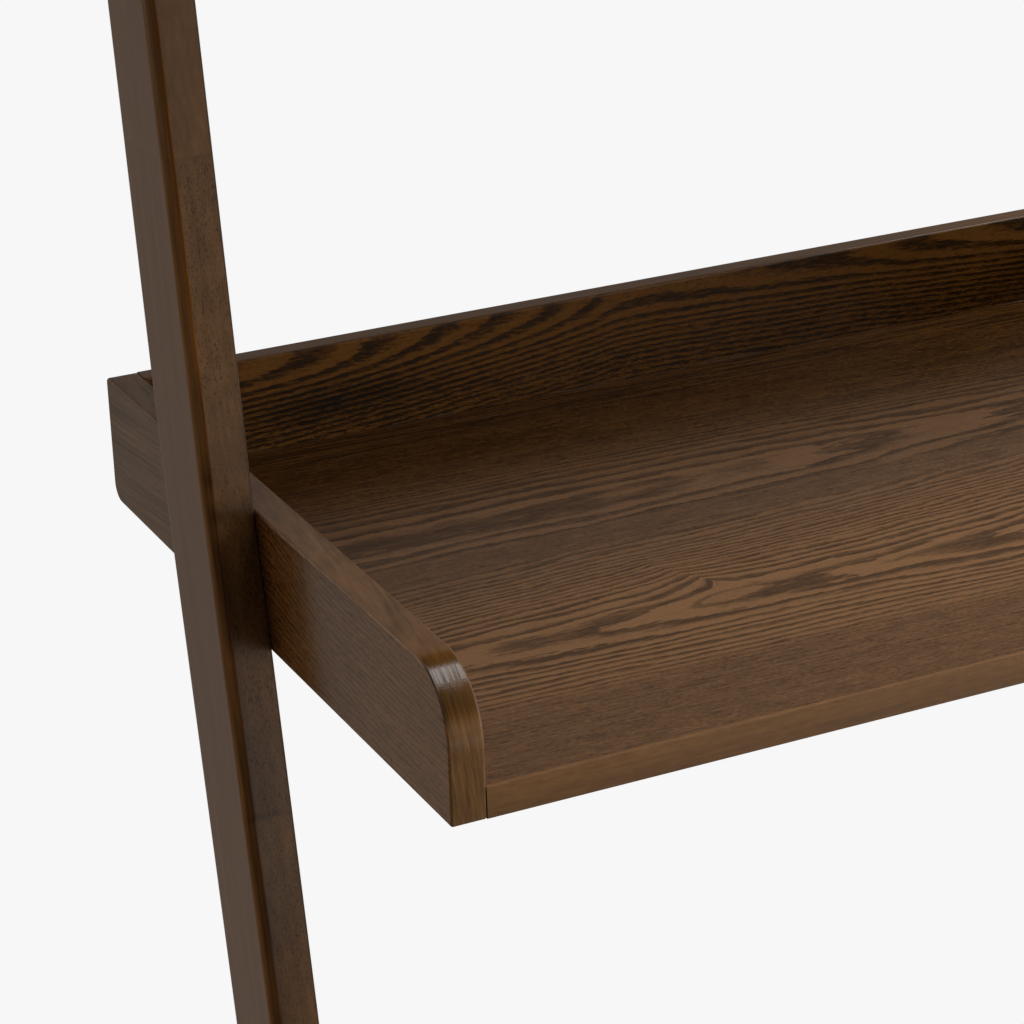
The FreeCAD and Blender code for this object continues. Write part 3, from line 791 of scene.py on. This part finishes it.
def shaped_piece(context, name, points, tree, values):
    """The plain mesh that a tree makes on some points, given in millimetres."""
    mesh = bpy.data.meshes.new(name)
    mesh.from_pydata([Vector(point) / MILLIMETRES for point in points], [], [])
    piece = bpy.data.objects.new(name, mesh)
    context.collection.objects.link(piece)
    modifier = piece.modifiers.new("shape", "NODES")
    modifier.node_group = tree
    for item in tree.interface.items_tree:
        if item.in_out == "INPUT" and item.name in values:
            modifier[item.identifier] = values[item.name]
    plain = bpy.data.meshes.new_from_object(piece.evaluated_get(context.evaluated_depsgraph_get()))
    piece.modifiers.remove(modifier)
    piece.data = plain
    return piece


# Settings


class DeskHardware(PropertyGroup):
    head_radius: FloatProperty(
        name="Head radius", description="Radius of a bolt's head", default=0.0075, unit="LENGTH")
    head_height: FloatProperty(
        name="Head height", description="Height of a bolt's head", default=0.0022, unit="LENGTH")
    socket_width: FloatProperty(
        name="Socket width", description="Width of a bolt's socket across its flats", default=0.004,
        unit="LENGTH")
    socket_depth: FloatProperty(
        name="Socket depth", description="Depth of a bolt's socket", default=0.0028, unit="LENGTH")
    bolt_radius: FloatProperty(
        name="Bolt radius", description="Outer radius of a bolt's thread", default=0.003, unit="LENGTH")
    tray_bolt_length: FloatProperty(
        name="Tray bolt length", description="Length of a tray bolt under its head", default=0.03,
        unit="LENGTH")
    rail_bolt_length: FloatProperty(
        name="Rail bolt length", description="Length of a cross rail bolt under its head", default=0.06,
        unit="LENGTH")
    bolt_pitch: FloatProperty(
        name="Bolt pitch", description="Distance between a bolt's thread turns", default=0.001,
        unit="LENGTH")
    stem_radius: FloatProperty(
        name="Stem radius", description="Outer radius of a foot's thread", default=0.004, unit="LENGTH")
    stem_length: FloatProperty(
        name="Stem length", description="Whole length of a foot's stem", default=0.036, unit="LENGTH")
    stem_pitch: FloatProperty(
        name="Stem pitch", description="Distance between a foot's thread turns", default=0.00125,
        unit="LENGTH")
    neck_height: FloatProperty(
        name="Neck height", description="Height of a stem's plain neck in its pad", default=0.004,
        unit="LENGTH")
    collar_width: FloatProperty(
        name="Collar width", description="Width of a foot's collar across its flats", default=0.013,
        unit="LENGTH")
    collar_height: FloatProperty(
        name="Collar height", description="Height of a foot's collar", default=0.004, unit="LENGTH")
    edge: FloatProperty(
        name="Edge", description="How far edges are rounded off", default=0.0005, unit="LENGTH")


class DeskFinish(PropertyGroup):
    light_stain: FloatVectorProperty(
        name="Light stain", description="Colour of the summer wood under the stain", subtype="COLOR",
        default=(0.325, 0.155, 0.057), min=0.0, max=1.0)
    dark_stain: FloatVectorProperty(
        name="Dark stain", description="Colour where the stain sits in the pores", subtype="COLOR",
        default=(0.085, 0.035, 0.0065), min=0.0, max=1.0)
    roughness: FloatProperty(
        name="Lacquer roughness", description="How dull the lacquer is", default=0.3, min=0.05, max=1.0,
        subtype="FACTOR")
    pore_depth: FloatProperty(
        name="Pore depth", description="How strongly the pores show through the lacquer", default=0.25,
        min=0.0, max=1.0, subtype="FACTOR")


class DeskStage(PropertyGroup):
    camera_place: FloatVectorProperty(
        name="Camera place", description="Where the camera stands", subtype="XYZ", unit="LENGTH",
        default=(-0.9381, -1.5350, 1.4903))
    camera_azimuth: FloatProperty(
        name="Azimuth", description="Which way the camera looks, from +Y towards +X", subtype="ANGLE",
        default=math.radians(25.2))
    camera_elevation: FloatProperty(
        name="Elevation", description="How far down the camera looks", subtype="ANGLE",
        default=math.radians(22.5))
    camera_roll: FloatProperty(
        name="Roll", description="How far the camera is turned about its own line", subtype="ANGLE",
        default=math.radians(-1.79))
    camera_lens: FloatProperty(
        name="Lens", description="Focal length on the sensor", default=112.35,
        subtype="DISTANCE_CAMERA")
    backdrop: FloatProperty(
        name="Backdrop", description="How bright the floor and the room look", default=0.93, min=0.0)


# Stage

# The camera's sensor, in millimetres
SENSOR_WIDTH = 36.0

# The floor: half its width in metres, and the light that it throws back
FLOOR_HALF = 8.0
FLOOR_GLOW = 0.172
# The dark sector of the floor, from the left round to the front: its corner and the two ways it opens
FLOOR_CORNER = (-0.39, 0.0)
FLOOR_OPENING = (-42.0, 160.0)
# Brighter patches of the floor: middle, inner and outer reach, added glow
FLOOR_PATCHES = (
    ((1.4, -0.7), (0.4, 1.4), 0.5),
    ((0.4, -1.2), (0.2, 0.8), 0.16),
    ((1.5, -4.5), (1.0, 3.2), 0.54),
)

# The room's light at the rear left, at the right, high at the left and low in front: azimuth from +Y towards
# +X, elevation, radius, soft edge, strength
ROOM_LIGHTS = (
    (-46.0, 14.0, 30.0, 12.0, 1.12),
    (116.0, 3.0, 30.0, 8.0, 2.48),
    (-110.0, 42.0, 20.0, 8.0, 0.32),
    (156.0, 4.0, 9.0, 6.0, 0.34),
)
# The room's own dim light, and its pale rear wall: the added light, and how high the wall fades out
ROOM_GLOW = 0.016
WALL_GLOW = 0.144
WALL_TOP = (0.6, 0.68)

# The softbox above the desk
TOP_LIGHT_PLACE = (0.9, -0.135, 2.4)
TOP_LIGHT_SIZE = (1.8, 0.93)
TOP_LIGHT_GLOW = 4.5


def make_camera(context, settings):
    """The camera, turned about the upright line, then down, then about its own line."""
    data = bpy.data.cameras.new("camera")
    data.lens = settings.camera_lens
    data.sensor_width = SENSOR_WIDTH
    data.clip_start = 0.05
    camera = bpy.data.objects.new("camera", data)
    turn = Matrix.Rotation(-settings.camera_azimuth, 4, "Z")
    tilt = Matrix.Rotation(math.pi / 2 - settings.camera_elevation, 4, "X")
    roll = Matrix.Rotation(settings.camera_roll, 4, "Z")
    camera.matrix_world = Matrix.Translation(settings.camera_place) @ turn @ tilt @ roll
    context.collection.objects.link(camera)
    context.scene.camera = camera


def direction(azimuth, elevation):
    """The way to a place on the sky, in degrees from +Y towards +X and up."""
    flat = math.cos(math.radians(elevation))
    turn = math.radians(azimuth)
    return Vector((math.sin(turn) * flat, math.cos(turn) * flat, math.sin(math.radians(elevation))))


def make_floor(context, settings):
    """A pale floor: even to the camera, dimmer and darker in front to the wood's reflections."""
    mesh = bpy.data.meshes.new("floor")
    corners = [(-FLOOR_HALF, -FLOOR_HALF, 0), (FLOOR_HALF, -FLOOR_HALF, 0),
               (FLOOR_HALF, FLOOR_HALF, 0), (-FLOOR_HALF, FLOOR_HALF, 0)]
    mesh.from_pydata(corners, [], [(0, 1, 2, 3)])
    floor = bpy.data.objects.new("floor", mesh)
    context.collection.objects.link(floor)
    material, graph = new_material("floor_paper")
    place = graph.node("ShaderNodeTexCoord", None, None, OBJECT_OUTPUT)
    corner = graph.vector("SUBTRACT", place, (*FLOOR_CORNER, 0.0))
    bright = 0.0
    for turn, side in zip(FLOOR_OPENING, (90.0, -90.0)):
        beside = graph.vector("DOT_PRODUCT", corner, direction(turn + side, 0.0), VALUE_OUTPUT)
        bright = graph.math("MAXIMUM", bright, graph.step(beside, -0.08, 0.16))
    glow = bright * FLOOR_GLOW
    for middle, reach, change in FLOOR_PATCHES:
        away = graph.vector("DISTANCE", place, (*middle, 0.0), VALUE_OUTPUT)
        glow = graph.step(away, *reach, change, 0.0) + glow
    seen = graph.node("ShaderNodeLightPath")
    strength = seen * settings.backdrop + (1 - seen) * glow
    light = graph.node("ShaderNodeEmission", None, {"Strength": strength})
    graph.node("ShaderNodeOutputMaterial", None, {"Surface": light})
    mesh.materials.append(material)


def make_room_light(context, settings):
    """Soft lights on a dim room; the camera sees an even backdrop instead."""
    world = bpy.data.worlds.new("room")
    world.use_nodes = True
    world.node_tree.nodes.clear()
    graph = Graph(world.node_tree)
    way = graph.node("ShaderNodeTexCoord")
    x, y, z = graph.split(way)
    wall = graph.step(z, *WALL_TOP, 1.0, 0.0) * graph.step(y - x * 0.3, -0.5, 0.3)
    glow = wall * WALL_GLOW + ROOM_GLOW
    for azimuth, elevation, radius, edge, strength in ROOM_LIGHTS:
        facing = graph.vector("DOT_PRODUCT", way, direction(azimuth, elevation), VALUE_OUTPUT)
        outer = math.cos(math.radians(radius + edge))
        inner = math.cos(math.radians(radius - edge))
        glow = glow + graph.step(facing, outer, inner) * strength
    seen = graph.node("ShaderNodeLightPath")
    strength = seen * settings.backdrop + (1 - seen) * glow
    light = graph.node("ShaderNodeBackground", None, {"Color": (1.0, 1.0, 1.0, 1.0), "Strength": strength})
    graph.node("ShaderNodeOutputWorld", None, {"Surface": light})
    context.scene.world = world


def make_top_light(context):
    """A wide softbox above the desk."""
    data = bpy.data.lights.new("top_light", "AREA")
    data.shape = "RECTANGLE"
    data.size, data.size_y = TOP_LIGHT_SIZE
    data.energy = TOP_LIGHT_GLOW * math.pi * TOP_LIGHT_SIZE[0] * TOP_LIGHT_SIZE[1]
    light = bpy.data.objects.new("top_light", data)
    light.location = TOP_LIGHT_PLACE
    light.visible_camera = False
    context.collection.objects.link(light)


class LADDERDESK_OT_stage(Operator):
    """Make the floor, the studio light and the camera"""

    bl_idname = "ladderdesk.stage"
    bl_label = "Stage"

    def execute(self, context):
        settings = context.scene.ladder_desk_stage
        context.scene.view_settings.view_transform = "Standard"
        make_camera(context, settings)
        make_floor(context, settings)
        make_room_light(context, settings)
        make_top_light(context)
        return {"FINISHED"}


# Pieces


class LADDERDESK_OT_uprights(Operator):
    """Finish the two bent uprights"""

    bl_idname = "ladderdesk.uprights"
    bl_label = "Uprights"

    def execute(self, context):
        give_material(upright_wood(context.scene.ladder_desk_finish), "stile_left", "stile_right")
        return {"FINISHED"}


class LADDERDESK_OT_rail(Operator):
    """Finish the cross rail"""

    bl_idname = "ladderdesk.rail"
    bl_label = "Cross rail"

    def execute(self, context):
        give_material(rail_wood(context.scene.ladder_desk_finish), "lower_stretcher")
        return {"FINISHED"}


class LADDERDESK_OT_bottoms(Operator):
    """Finish the bottom boards and their front strips"""

    bl_idname = "ladderdesk.bottoms"
    bl_label = "Bottom boards"

    def execute(self, context):
        finish = context.scene.ladder_desk_finish
        give_material(panel_veneer(finish), *[tray + "_panel" for tray in TRAYS])
        give_material(lipping_wood(finish), *[tray + "_lipping" for tray in TRAYS])
        return {"FINISHED"}


class LADDERDESK_OT_sides(Operator):
    """Finish the side boards"""

    bl_idname = "ladderdesk.sides"
    bl_label = "Side boards"

    def execute(self, context):
        wood = side_veneer(context.scene.ladder_desk_finish)
        give_material(wood, *[tray + "_side_left" for tray in TRAYS])
        give_material(wood, *[tray + "_side_right" for tray in TRAYS])
        return {"FINISHED"}


class LADDERDESK_OT_backs(Operator):
    """Finish the back boards"""

    bl_idname = "ladderdesk.backs"
    bl_label = "Back boards"

    def execute(self, context):
        give_material(back_veneer(context.scene.ladder_desk_finish), *[tray + "_back" for tray in TRAYS])
        return {"FINISHED"}


class LADDERDESK_OT_fixings(Operator):
    """Finish the screws, inserts, nuts and dowels"""

    bl_idname = "ladderdesk.fixings"
    bl_label = "Fixings"

    def execute(self, context):
        give_material(black_steel(), "bracket_screws")
        brass = plated_metal("insert_brass", (0.62, 0.42, 0.16), (0.42, 0.27, 0.1), 0.35)
        give_material(brass, "tray_inserts", "foot_inserts")
        give_material(zinc(), "barrel_nuts")
        give_material(dowel_wood(), "dowels")
        return {"FINISHED"}


class LADDERDESK_OT_bolts(Operator):
    """Turn the bolts of the trays and of the cross rail"""

    bl_idname = "ladderdesk.bolts"
    bl_label = "Bolts"

    def execute(self, context):
        sizes = context.scene.ladder_desk_hardware
        tree = bolt_tree()
        values = {
            "Head radius": sizes.head_radius, "Head height": sizes.head_height,
            "Socket width": sizes.socket_width, "Socket depth": sizes.socket_depth, "Edge": sizes.edge,
            "Radius": sizes.bolt_radius, "Length": sizes.tray_bolt_length, "Pitch": sizes.bolt_pitch,
            "Thread depth": sizes.bolt_pitch * BOLT_THREAD_DEPTH, "Tip": 0.0, "Swing": -math.pi / 2,
            "Spin": math.pi / 3, "Material": black_steel()}
        head = INNER_FACE - sizes.head_height * MILLIMETRES
        points = [(side * head, y + offset, z) for y, z in TRAY_BOLT_ROWS for side in (-1, 1)
                  for offset in TRAY_BOLT_OFFSETS]
        piece = shaped_piece(context, "threaded_tray_bolts", points, tree, values)
        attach(piece, "frame")
        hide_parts("tray_bolts")
        values["Length"] = sizes.rail_bolt_length
        values["Swing"] = math.pi / 2
        head = RAIL_BOLT_FLOOR + sizes.head_height * MILLIMETRES
        points = [(side * head, *RAIL_BOLT_PLACE) for side in (-1, 1)]
        piece = shaped_piece(context, "threaded_rail_bolts", points, tree, values)
        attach(piece, "frame")
        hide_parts("stretcher_bolts")
        return {"FINISHED"}


class LADDERDESK_OT_wall_brackets(Operator):
    """Finish the wall brackets"""

    bl_idname = "ladderdesk.wall_brackets"
    bl_label = "Wall brackets"

    def execute(self, context):
        give_material(speckled_coat("bracket_paint", (0.02, 0.02, 0.02), 0.5, 0.7, 0.3), "wall_brackets")
        return {"FINISHED"}


class LADDERDESK_OT_feet(Operator):
    """Finish the levelling feet"""

    bl_idname = "ladderdesk.feet"
    bl_label = "Feet"

    def execute(self, context):
        plastic = speckled_coat("pad_plastic", (0.018, 0.018, 0.019), 0.55, 0.35, 0.2)
        give_material(plastic, "foot_pad_left", "foot_pad_right")
        sizes = context.scene.ladder_desk_hardware
        tree = foot_tree()
        values = {
            "Neck height": sizes.neck_height, "Collar width": sizes.collar_width,
            "Collar height": sizes.collar_height, "Edge": sizes.edge, "Radius": sizes.stem_radius,
            "Length": sizes.stem_length, "Pitch": sizes.stem_pitch,
            "Thread depth": sizes.stem_pitch * STEM_THREAD_DEPTH, "Tip": math.pi, "Swing": 0.0,
            "Spin": 0.0, "Material": zinc()}
        for name, side in (("left", -1), ("right", 1)):
            points = [(side * FOOT_PLACE[0], *FOOT_PLACE[1:])]
            piece = shaped_piece(context, "threaded_stem_" + name, points, tree, values)
            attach(piece, name + "_stem")
            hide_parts("foot_stem_" + name)
        return {"FINISHED"}


class LADDERDESK_PT_pieces(Panel):
    """Every step that finishes the desk"""

    bl_idname = "LADDERDESK_PT_pieces"
    bl_label = "Ladder Desk"
    bl_space_type = "VIEW_3D"
    bl_region_type = "UI"
    bl_category = "Ladder Desk"

    def draw(self, context):
        for step in STEPS:
            self.layout.operator(step.bl_idname)


GROUPS = (DeskHardware, DeskFinish, DeskStage)
STEPS = (
    LADDERDESK_OT_uprights,
    LADDERDESK_OT_rail,
    LADDERDESK_OT_bottoms,
    LADDERDESK_OT_sides,
    LADDERDESK_OT_backs,
    LADDERDESK_OT_fixings,
    LADDERDESK_OT_bolts,
    LADDERDESK_OT_wall_brackets,
    LADDERDESK_OT_feet,
    LADDERDESK_OT_stage,
)
CLASSES = (*GROUPS, *STEPS, LADDERDESK_PT_pieces)


def register():
    for each in CLASSES:
        bpy.utils.register_class(each)
    bpy.types.Scene.ladder_desk_hardware = PointerProperty(type=DeskHardware)
    bpy.types.Scene.ladder_desk_finish = PointerProperty(type=DeskFinish)
    bpy.types.Scene.ladder_desk_stage = PointerProperty(type=DeskStage)


def unregister():
    del bpy.types.Scene.ladder_desk_stage
    del bpy.types.Scene.ladder_desk_finish
    del bpy.types.Scene.ladder_desk_hardware
    for each in reversed(CLASSES):
        bpy.utils.unregister_class(each)


def main():
    register()
    for step in STEPS:
        group, name = step.bl_idname.split(".")
        getattr(getattr(bpy.ops, group), name)()


if __name__ == "__main__":
    main()
